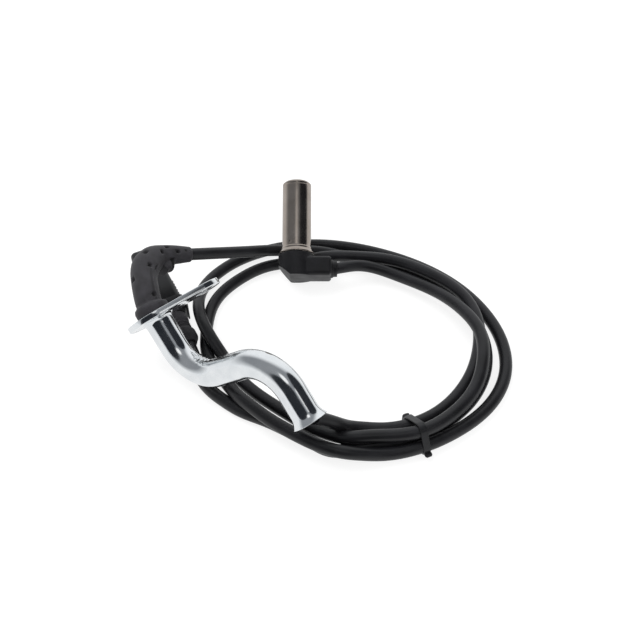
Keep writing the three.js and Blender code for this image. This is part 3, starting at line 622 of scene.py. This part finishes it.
def barrel():
    """Metal sleeve: a wall turned with its flared foot, the chamfered tip and the rolled-in edge. A punch
    mark near the foot is a Gaussian hollow: its depth falls with the squared distance from its middle."""
    low = HUB_H + FIT
    top = low + FOOT_H + SLEEVE_H
    outer, inner = SLEEVE_D / 2, SLEEVE_D / 2 - SLEEVE_WALL
    punched = [(outer, h, 0) for h in low + np.arange(4.4, 7.2, 0.15)]
    corners = [
        (inner, low, 0.1), (FOOT_D / 2, low, 0.25), (FOOT_D / 2 + 0.1, low + 0.7, 0.25),
        (FOOT_D / 2 - 0.7, low + 1.6, 0.4), (outer + 0.5, low + 2.5, 0.25), (outer + 0.42, low + 3.4, 0.2),
        (outer, low + 3.9, 0.3), *punched, (outer, top - 9, 0),
        (outer, top - TIP_CHAMFER - 1.5, 0.1), (outer - 0.12, top - TIP_CHAMFER - 1.3, 0.1),
        (outer - 0.12, top - TIP_CHAMFER - 1.1, 0.1), (outer, top - TIP_CHAMFER - 0.9, 0.1),
        (outer, top - TIP_CHAMFER, 0.25), (outer - TIP_CHAMFER, top, 0.3), (inner - TIP_LIP, top, 0.2),
        (inner - TIP_LIP, top - SLEEVE_WALL, 0.2), (inner, top - SLEEVE_WALL, 0.1)]
    points, faces, grain = turned(softened(corners, True), 360, ring=True)
    height, degrees = PUNCH_AT
    turn = math.radians(degrees)
    mark = np.array([outer * math.cos(turn), outer * math.sin(turn), low + height])
    hollow = PUNCH_DEPTH * np.exp(-((points - mark) ** 2).sum(axis=1) / PUNCH_R ** 2)
    hollow = np.where(np.hypot(points[:, 0], points[:, 1]) > inner + SLEEVE_WALL / 2, hollow, 0)
    points = points * (1 - hollow[:, None] / outer * np.array([1, 1, 0]))
    return piece("metal_barrel", [(points, faces, grain)], SENSOR, nickel, ["sensor_sleeve"],
                 sharp=50)


def tip():
    """The plastic cap and the pole pin that show in the barrel's open end."""
    top = HUB_H + FIT + FOOT_H + SLEEVE_H
    cap_top = top - SLEEVE_WALL - FIT
    cap_r = SLEEVE_D / 2 - SLEEVE_WALL - FIT
    hole = PIN_D / 2 + FIT
    cap = turned(softened([(hole, cap_top - CAP_H, 0.1), (cap_r, cap_top - CAP_H, 0.1), (cap_r, cap_top, 0.1),
                           (hole, cap_top, 0.2)], True), 96, ring=True)
    piece("tip_cap", [cap], SENSOR, nylon, ["front_cap"])
    low = lowest_of("pole_pin")
    high = top + PIN_PROUD
    pin = turned(softened([(0, low, 0), (PIN_D / 2, low, 0.1), (PIN_D / 2, high, 0.35), (0, high, 0)],
                          False), 64)
    piece("tip_pole_pin", [pin], SENSOR, iron, ["pole_pin"])


def lowest_of(node):
    """The lowest height of a CAD node, along the sensor's own axis."""
    turn, origin = SENSOR
    return float(((points_of(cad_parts[node].data) / MM - origin) @ turn)[:, 2].min())


def guide_tube():
    """Bent tube: outer and inner radii carried along its centre line and joined round both ends, with a
    flared mouth, a brazed foot at the plate and shallow creases inside the first bend."""
    face = PLATE_T / 2
    run = np.concatenate([[-face, face - 0.02], face + np.arange(0, 3.6, 0.12),
                          np.arange(5.2, TUBE_L - 2 * RIM_H, 0.7)])
    mouth = np.linspace(TUBE_L - 2 * RIM_H, TUBE_L, 18)
    share = (mouth - mouth[0]) / (mouth[-1] - mouth[0])
    flare = (RIM_D - TUBE_D) / 2 * share ** RIM_POWER
    outer_run = np.concatenate([run, mouth])
    outer = np.concatenate([np.full(len(run), TUBE_D / 2), TUBE_D / 2 + flare])
    braze = BRAZE_R * np.exp(-np.maximum(outer_run - face, 0) / BRAZE_FADE)
    outer = outer + braze * (outer_run > face - 0.01)
    lip_run = np.array([TUBE_L + 0.25, TUBE_L + 0.25])
    lip = np.array([RIM_D / 2 - 0.3, RIM_D / 2 - TUBE_WALL + 0.3])
    inner = outer_run * 0 + TUBE_D / 2 - TUBE_WALL
    inner[len(run):] += flare
    runs = np.concatenate([outer_run, lip_run, outer_run[::-1]])
    radii = np.concatenate([outer, lip, inner[::-1]])
    angle = np.linspace(0, 2 * np.pi, 96, endpoint=False)
    line = tube_line(runs)
    ahead = unit(tube_line(runs + 0.01) - tube_line(runs - 0.01))
    square = np.array([0.0, 1.0, 0.0])       # the bends lie in the plane square to this
    side = unit(np.cross(square, -ahead))
    bend = math.radians(TUBE_BEND_ANGLE)
    creased = TUBE_FIRST + TUBE_BEND_R * bend * CREASE_AT
    is_outer = (np.arange(len(runs)) < len(outer_run))[:, None]
    near = np.exp(-((runs - creased) / CREASE_SPREAD) ** 2)[:, None]
    inside = np.maximum(np.cos(angle), 0)[None] ** 10
    creases = CREASE_DEPTH * np.cos(2 * np.pi * runs / CREASE_STEP)[:, None] * near * inside * is_outer
    radius = radii[:, None] + creases
    points = line[:, None] + radius[:, :, None] * spokes(angle, side, np.broadcast_to(square, side.shape))
    shell = shell_of(points, angle, runs[:, None], ring=True)
    return piece("zinc_guide_tube", [shell], TUBE, zinc, ["guide_tube"], sharp=50)


def flange_plate():
    """Flange plate: its outline is two circles joined by their common tangents, with the tube's hole and
    the bolt's hole in it, stamped from sheet with a small rolled edge."""
    ear = math.radians(EAR_ANGLE)
    lean = math.acos((PLATE_R - EAR_R) / EAR_AWAY)
    ear_at = EAR_AWAY * np.array([math.cos(ear), math.sin(ear)])
    big = np.linspace(ear + lean, ear - lean + 2 * np.pi, 90)
    small = np.linspace(ear - lean, ear + lean, 60)
    around = np.linspace(0, 2 * np.pi, 72, endpoint=False)

    def circle(radius, angle, at=(0, 0)):
        return np.stack([radius * np.cos(angle), radius * np.sin(angle)], 1) + np.asarray(at)

    outline = np.concatenate([circle(PLATE_R - PLATE_EDGE, big), circle(EAR_R - PLATE_EDGE, small, ear_at)])
    hole = circle(TUBE_D / 2 + FIT + PLATE_EDGE, -around)
    bolt = circle(BOLT_D / 2 + PLATE_EDGE, -around, ear_at)
    flat = bpy.data.curves.new("plate_outline", "CURVE")
    flat.dimensions = "2D"
    flat.fill_mode = "BOTH"
    flat.extrude = PLATE_T / 2 - PLATE_EDGE
    flat.bevel_depth = PLATE_EDGE
    flat.bevel_resolution = 3
    for loop in (outline, hole, bolt):
        row = flat.splines.new("POLY")
        row.points.add(len(loop) - 1)
        row.points.foreach_set("co", np.column_stack([loop, 0 * loop[:, 0], 0 * loop[:, 0] + 1]).ravel())
        row.use_cyclic_u = True
    drawn = bpy.data.objects.new("plate_outline", flat)
    bpy.context.scene.collection.objects.link(drawn)
    shown = drawn.evaluated_get(bpy.context.evaluated_depsgraph_get())
    mesh = bpy.data.meshes.new_from_object(shown)
    bpy.data.objects.remove(drawn)
    set_in_place(mesh, TUBE)
    cleaned(mesh, 1e-4 * MM)
    made = bpy.data.objects.new("zinc_flange_plate", mesh)
    bpy.context.scene.collection.objects.link(made)
    return dressed(made, zinc, ["flange_plate"], sharp=40)


def rubber_boot():
    """Boot: a radius that changes along its bent line, from the lip over the stem and elbow to the tapered
    arm. Pits and the lug under the elbow are boxes with soft edges, exp(-(x^p + y^p)) of the distance along
    and round the boot, and the parting seam down the stem is a narrow Gaussian ridge."""
    run = distance_along(boot_path)
    angle = np.linspace(0, 2 * np.pi, 144, endpoint=False)
    stations = np.array([
        (0, BOOT_LIP_D / 2 - 0.5), (0.5, BOOT_LIP_D / 2), (BOOT_LIP_H - 0.8, BOOT_LIP_D / 2),
        (BOOT_LIP_H, BOOT_LIP_D / 2 - 0.5), (BOOT_LIP_H + 0.8, BOOT_STEM_D / 2), (20, BOOT_STEM_D / 2),
        (BOOT_L * 0.5, BOOT_ELBOW_D / 2), (BOOT_L * 0.64, BOOT_ELBOW_D / 2 - 0.5),
        (BOOT_L * 0.74, BOOT_ARM_D / 2 + 0.5), (BOOT_L * 0.86, BOOT_ARM_D / 2),
        (BOOT_L - 0.5, BOOT_END_D / 2 - 0.2), (BOOT_L, BOOT_END_D / 2 - 0.5)])
    radius = np.interp(run, stations[:, 0], stations[:, 1])
    soft = np.convolve(np.pad(radius, 3, mode="edge"), np.ones(7) / 7, mode="valid")
    firm = (run > BOOT_LIP_H + 2) & (run < BOOT_L - 1.5)
    radius = np.where(firm, soft, radius)[:, None] + 0 * angle[None]
    plain = radius

    def around(degrees):
        return np.angle(np.exp(1j * (angle - math.radians(degrees))))[None] * plain

    def box(at, degrees, half_length, half_width, power):
        return np.exp(-(np.abs((run[:, None] - at) / half_length) ** power
                        + np.abs(around(degrees) / half_width) ** power))

    *lug, lug_height = BOOT_LUG
    radius = radius + lug_height * box(*lug, 12)
    low, high, degrees, seam_height = BOOT_SEAM
    stem = ((run > low) & (run < high))[:, None]
    radius = radius + seam_height * stem * np.exp(-(around(degrees) / SEAM_R) ** 2)
    # painted shade in the groove beside the seam
    beside, half_width, darkness = SEAM_SHADE
    hollow = darkness * stem * np.exp(-((around(degrees) + beside) / half_width) ** 2)
    for *spot, depth in BOOT_PITS:
        pit = box(*spot, 4)
        radius = radius - depth * pit
        # each pit is also painted darker, as shade
        hollow = np.maximum(hollow, pit)
    bore = CABLE_D / 2 + FIT
    line = np.concatenate([boot_path, boot_path[::-1]])
    radii = np.concatenate([radius, np.full_like(radius, bore)])
    along = unit(np.gradient(boot_path, axis=0))
    side = unit(np.cross(np.array([1.0, 0.0, 0.0]), along))
    lift = np.cross(along, side)
    side, lift = np.concatenate([side, side[::-1]]), np.concatenate([lift, lift[::-1]])
    points = line[:, None] + radii[:, :, None] * spokes(angle, side, lift)
    shell = shell_of(points, angle, np.concatenate([run, run[::-1]])[:, None], ring=True)
    # marks: painted shade on the outer skin, none in the bore
    marks = np.concatenate([hollow, 0 * hollow]).ravel()
    return piece("moulded_boot", [shell], TUBE, epdm, ["rubber_boot"], sharp=60, painted_shade=marks)


def plug_shell():
    """Connector body: rounded box sections along X go out along the shell, round its rim and back into the
    socket; ribs and a latch ramp sit on it."""
    start = REAR_BOOT_L + FIT
    socket = PLUG_L - SOCKET_L
    w, h, c = PLUG_W, PLUG_H, PLUG_CORNER
    inner = (w - 2 * PLUG_WALL, h - 2 * PLUG_WALL, c - PLUG_WALL)
    body = bar([
        (start, *CLOSED), (start, w - 3, h - 3, c - 1.2), (start + 0.5, w - 2, h - 2, c - 0.8),
        (start + 1.2, w - 2, h - 2, c - 0.8), (start + 1.6, w - 0.5, h - 0.5, c), (start + 2, w, h, c),
        (socket - 6, w, h, c), (PLUG_L - 1.6, w, h, c), (PLUG_L - 0.5, w - 0.6, h - 0.6, c - 0.3),
        (PLUG_L, w - 1.6, h - 1.6, c - 0.8),
        (PLUG_L, inner[0] + 0.6, inner[1] + 0.6, inner[2] + 0.3), (PLUG_L - 0.4, *inner), (socket, *inner),
        (socket, *CLOSED)], 96)
    shells = [body]
    rib_h = h - RIB_SHORT
    for at in np.arange(COLLAR_AT + COLLAR_L + 2, socket - 4, RIB_STEP):
        rib = bar([(at, *CLOSED), (at, 0.5, rib_h - 0.4, 0.2), (at + 0.25, 0.9, rib_h, 0.3),
                   (at + 0.9, 0.9, rib_h, 0.3), (at + RIB_T, 0.5, rib_h - 0.4, 0.2),
                   (at + RIB_T, *CLOSED)], 32)
        for across in (-1, 1):
            shells.append(moved(rib, y=across * (w / 2)))
    ramp_at = socket + RAMP_IN
    ramp_end = ramp_at + RAMP_L
    ramp = bar([(ramp_at, *CLOSED), (ramp_at, RAMP_W, 0.6, 0.2), (ramp_end - 0.8, RAMP_W, 2.0, 0.3),
                (ramp_end - 0.2, RAMP_W, 2.0, 0.3), (ramp_end, RAMP_W - 0.4, 1.6, 0.3),
                (ramp_end, *CLOSED)], 32)
    shells.append(moved(ramp, z=h / 2))
    return piece("plug_moulding", shells, PLUG, nylon, ["connector_housing"], sharp=35)


def plug_collar():
    """Collar over the connector: a strap of even thickness carried over its two sides and top."""
    half = PLUG_W / 2 + FIT
    top = PLUG_H / 2 + FIT
    path = softened([(half, -PLUG_H / 2 + 0.2, 0), (half, top, PLUG_CORNER), (-half, top, PLUG_CORNER),
                     (-half, -PLUG_H / 2 + 0.2, 0)], False, 10)
    along = unit(np.gradient(path, axis=0))
    outward = np.stack([along[:, 1], -along[:, 0]], 1)
    section = softened([(0, 0, 0.2), (COLLAR_L, 0, 0.2), (COLLAR_L, COLLAR_T, 0.3),
                        (0, COLLAR_T, 0.3)], True, 3)
    closing = np.tile([COLLAR_L / 2, COLLAR_T / 2], (len(section), 1))
    rows = [closing, *[section] * len(path), closing]
    ends = np.concatenate([path[:1], path, path[-1:]])
    sides = np.concatenate([outward[:1], outward, outward[-1:]])
    points = np.stack([
        np.column_stack([COLLAR_AT + row[:, 0], at[0] + side[0] * row[:, 1], at[1] + side[1] * row[:, 1]])
        for row, at, side in zip(rows, ends, sides)])
    return piece("plug_collar", [plain_shell(points)], PLUG, nylon, ["connector_collar"],
                 sharp=35)


def plug_rear_boot():
    """Rear boot of the connector: a turned sleeve with a bead, grip rings and a stepped neck."""
    bore = CABLE_D / 2 + FIT
    end = REAR_BOOT_END_D / 2
    bump = REAR_BUMP_D / 2
    full = REAR_BOOT_D / 2
    corners = [(bore, 0, 0.2), (end - 0.6, 0, 0.4), (end, 1.5, 0.5), (bump, 3, 0.7),
               (bump, REAR_BUMP_L - 0.6, 0.9), (end, REAR_BUMP_L + 1.6, 0.6)]
    for ring in np.arange(REAR_BUMP_L + 2.4, REAR_NECK_TO - 1.2, GRIP_STEP):
        corners += [(end, ring, 0.15), (end + GRIP_PROUD, ring + 0.3, 0.15),
                    (end + GRIP_PROUD, ring + 0.8, 0.15), (end, ring + 1.1, 0.15)]
    corners += [(end, REAR_NECK_TO, 0.2), (full, REAR_NECK_TO + 1.5, 0.6), (full, REAR_BOOT_L, 0.4),
                (bore, REAR_BOOT_L, 0.2)]
    shell = moved(turned(softened(corners, True), 96, ring=True), turn=ALONG_X)
    return piece("plug_rear_boot", [shell], PLUG, epdm, ["connector_rear_boot"], sharp=50)


def cable_tie():
    """Cable tie: its strap is the tight hull round the four strands, given its thickness, with fine teeth
    across the tail; the head is a rounded block."""
    turn = np.radians(np.arange(0, 360, 5))
    facing = np.stack([np.cos(turn), np.sin(turn)], 1)
    strands = np.array(TIE_STRANDS)
    furthest = strands[np.argmax(facing @ strands.T, axis=1)]
    inside = furthest + (CABLE_D / 2) * facing
    outside = furthest + (CABLE_D / 2 + TIE_T) * facing
    half = TIE_W / 2
    flat, bevel = half - TIE_EDGE, TIE_EDGE * facing
    loops = [(inside, -flat), (inside, flat), (inside + bevel, half), (outside - bevel, half),
             (outside, flat), (outside, -flat), (outside - bevel, -half), (inside + bevel, -half)]
    points = np.stack([np.column_stack([loop, np.full(len(loop), z)]) for loop, z in loops])
    band = plain_shell(points, ring=True)
    length, height, depth = TIE_HEAD
    head = bar([(-length / 2, *CLOSED), (-length / 2, height - 1.2, depth - 1.2, 0.5),
                (-length / 2 + 0.6, height, depth, 0.8), (length / 2 - 0.6, height, depth, 0.8),
                (length / 2, height - 1.2, depth - 1.2, 0.5), (length / 2, height - 2.4, depth - 2.4, 0.3),
                (length / 2 - 0.8, height - 2.6, depth - 2.6, 0.3), (length / 2 - 0.8, *CLOSED)], 48)
    head = moved(head, *TIE_HEAD_AT)
    tail_from = -TIE_TAIL_L / 2
    stations = [(tail_from, *CLOSED), (tail_from, TIE_T - 0.2, TIE_W, 0.3)]
    for at in np.arange(tail_from + 0.5, TIE_TAIL_L / 2 - 0.8, TIE_TOOTH):
        stations += [(at, TIE_T - 0.25, TIE_W, 0.3), (at + 0.35, TIE_T, TIE_W, 0.3)]
    stations += [(TIE_TAIL_L / 2, TIE_T * 0.7, TIE_W - 1, 0.3), (TIE_TAIL_L / 2, *CLOSED)]
    tail = moved(bar(stations, 48), *TIE_TAIL_AT)
    return piece("nylon_tie", [band, head, tail], TIE, strap, ["cable_tie"], sharp=35)


def dress_inner_pieces():
    """Finishes for the solids that stay as they are."""
    finishes = {
        "coil_spool": (pbt, "grey_plastic"), "magnet_carrier": (pbt, "grey_plastic"),
        "coil_winding": (enamel, "copper_wire"), "magnet": (sinter, "magnet_alloy"),
        "terminal_strip_a": (brass, "brass"), "terminal_strip_b": (brass, "brass"),
        "core_lead_a": (enamel, "copper_wire"), "core_lead_b": (enamel, "copper_wire"),
        "connector_insert": (pbt, "grey_plastic"), "connector_seal": (silicone, "silicone"),
        "rear_seal": (silicone, "silicone"), "contact_pin_a": (brass, "brass"),
        "contact_pin_b": (brass, "brass"),
    }
    for name, (material, slot) in finishes.items():
        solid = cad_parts[name]
        solid.data.materials.clear()
        solid.data.materials.append(material)


# The studio that the metal mirrors: (azimuth from +Y towards +X, elevation, full to, fades by, grey)
STUDIO = [
    (5, 18, 30, 62, "#f4f6f8"),       # lit backdrop
    (-168, 28, 34, 39, "#23262b"),    # dark room round the camera
    (90, 37, 29, 34, "#25282d"),      # dark room to the right
    (131, 50, 2.5, 5.5, "#ffffff"),   # narrow softbox between them
    (180, 72, 7, 13, "#ffffff"),      # strip lamp over the camera
]
HORIZON = "#f2f4f6"
CEILING = "#898c90"
CEILING_FROM = 0.42           # height of the direction at which the ceiling is reached
AMBIENT = 0.62


def studio():
    """The world: white where the camera looks, an even level for diffuse light, and for mirrored rays a
    light horizon that darkens by height to a grey ceiling, with each row of STUDIO as a cone round its
    direction."""
    world = bpy.data.worlds.new("studio")
    bpy.context.scene.world = world
    world.use_nodes = True
    tree = world.node_tree
    tree.nodes.clear()
    ray = add_node(tree, "LightPath")
    direction = add_node(tree, "TexCoord").outputs["Generated"]
    height = add_node(tree, "SeparateXYZ", {"Vector": direction}).outputs["Z"]
    rise = add_node(tree, "MapRange", {"Value": height, "From Min": 0.0, "From Max": CEILING_FROM})
    mirrored = add_node(tree, "MixRGB", {"Fac": rise.outputs["Result"], "Color1": linear(HORIZON),
                                         "Color2": linear(CEILING)}).outputs["Color"]
    for azimuth, elevation, full, fade, grey in STUDIO:
        a, e = math.radians(azimuth), math.radians(elevation)
        middle = (math.sin(a) * math.cos(e), math.cos(a) * math.cos(e), math.sin(e))
        near = add_node(tree, "VectorMath", {0: direction, 1: middle}, operation="DOT_PRODUCT")
        share = add_node(tree, "MapRange", {
            "Value": near.outputs["Value"], "From Min": math.cos(math.radians(fade)),
            "From Max": math.cos(math.radians(full))}, interpolation_type="SMOOTHSTEP")
        mirrored = add_node(tree, "MixRGB", {"Fac": share.outputs["Result"], "Color1": mirrored,
                                             "Color2": linear(grey)}).outputs["Color"]
    diffuse = add_node(tree, "Background", {"Color": linear("#ffffff"), "Strength": AMBIENT})
    mirror = add_node(tree, "Background", {"Color": mirrored, "Strength": 1.0})
    white = add_node(tree, "Background", {"Color": linear("#ffffff"), "Strength": 1.0})
    seen = add_node(tree, "MixShader", {0: ray.outputs["Is Glossy Ray"], 1: diffuse.outputs[0],
                                        2: mirror.outputs[0]})
    through = add_node(tree, "Math", {0: ray.outputs["Is Camera Ray"], 1: ray.outputs["Is Transmission Ray"]},
                       operation="MAXIMUM")
    last = add_node(tree, "MixShader", {0: through.outputs[0], 1: seen.outputs[0], 2: white.outputs[0]})
    add_node(tree, "OutputWorld", {"Surface": last.outputs[0]})


FLOOR_REACH = 3000
FLOOR_DROP = 0.2
FLOOR_GLOW = 0.82             # to the camera, so that the lit floor is white and its shadow faint


def floor():
    """A plain pale floor: it takes the shadow softly and is white to the camera and in the metal."""
    corners = np.array([[-1, -1, 0], [1, -1, 0], [1, 1, 0], [-1, 1, 0]]) * FLOOR_REACH * MM
    mesh = bpy.data.meshes.new("floor")
    mesh.from_pydata((corners - [0, 0, FLOOR_DROP * MM]).tolist(), [], [[0, 1, 2, 3]])
    made = bpy.data.objects.new("floor", mesh)
    bpy.context.scene.collection.objects.link(made)
    material = bpy.data.materials.new("pale_floor")
    material.use_nodes = True
    tree = material.node_tree
    tree.nodes.clear()
    ray = add_node(tree, "LightPath")
    matt = add_node(tree, "BsdfDiffuse", {"Color": linear("#d0d0d0")})
    faint = add_node(tree, "BsdfDiffuse", {"Color": linear("#8c8c8c")})
    glow = add_node(tree, "Emission", {"Color": linear("#ffffff"), "Strength": FLOOR_GLOW})
    lit = add_node(tree, "AddShader", {0: faint.outputs[0], 1: glow.outputs[0]})
    mirrored = add_node(tree, "Emission", {"Color": linear("#f0f1f2"), "Strength": 1.0})
    seen = add_node(tree, "MixShader", {0: ray.outputs["Is Camera Ray"], 1: matt.outputs[0],
                                        2: lit.outputs[0]})
    last = add_node(tree, "MixShader", {0: ray.outputs["Is Glossy Ray"], 1: seen.outputs[0],
                                        2: mirrored.outputs[0]})
    add_node(tree, "OutputMaterial", {"Surface": last.outputs[0]})
    mesh.materials.append(material)


def lamp(name, place, size, power):
    """A soft square lamp that faces the part's middle and isn't mirrored."""
    data = bpy.data.lights.new(name, "AREA")
    data.shape = "SQUARE"
    data.size = size * MM
    data.energy = power
    made = bpy.data.objects.new(name, data)
    made.location = Vector(put(place, LAYOUT))
    middle = Vector(put([0, 0, 0], LAYOUT))
    made.rotation_mode = "QUATERNION"
    made.rotation_quaternion = (middle - made.location).to_track_quat("-Z", "Y")
    made.visible_glossy = False
    bpy.context.scene.collection.objects.link(made)


set_camera()
tie_pieces = [cable_tie()]
plug_pieces = [plug_shell(), plug_collar(), plug_rear_boot()]
cords(tie_pieces, plug_pieces)
held_cable()
elbow()
barrel()
tip()
guide_tube()
flange_plate()
rubber_boot()
dress_inner_pieces()
studio()
floor()
lamp("key", place=(-250, 150, 600), size=500, power=3.2)
lamp("fill", place=(450, -350, 500), size=500, power=1.2)

bpy.context.scene.view_settings.view_transform = "Standard"
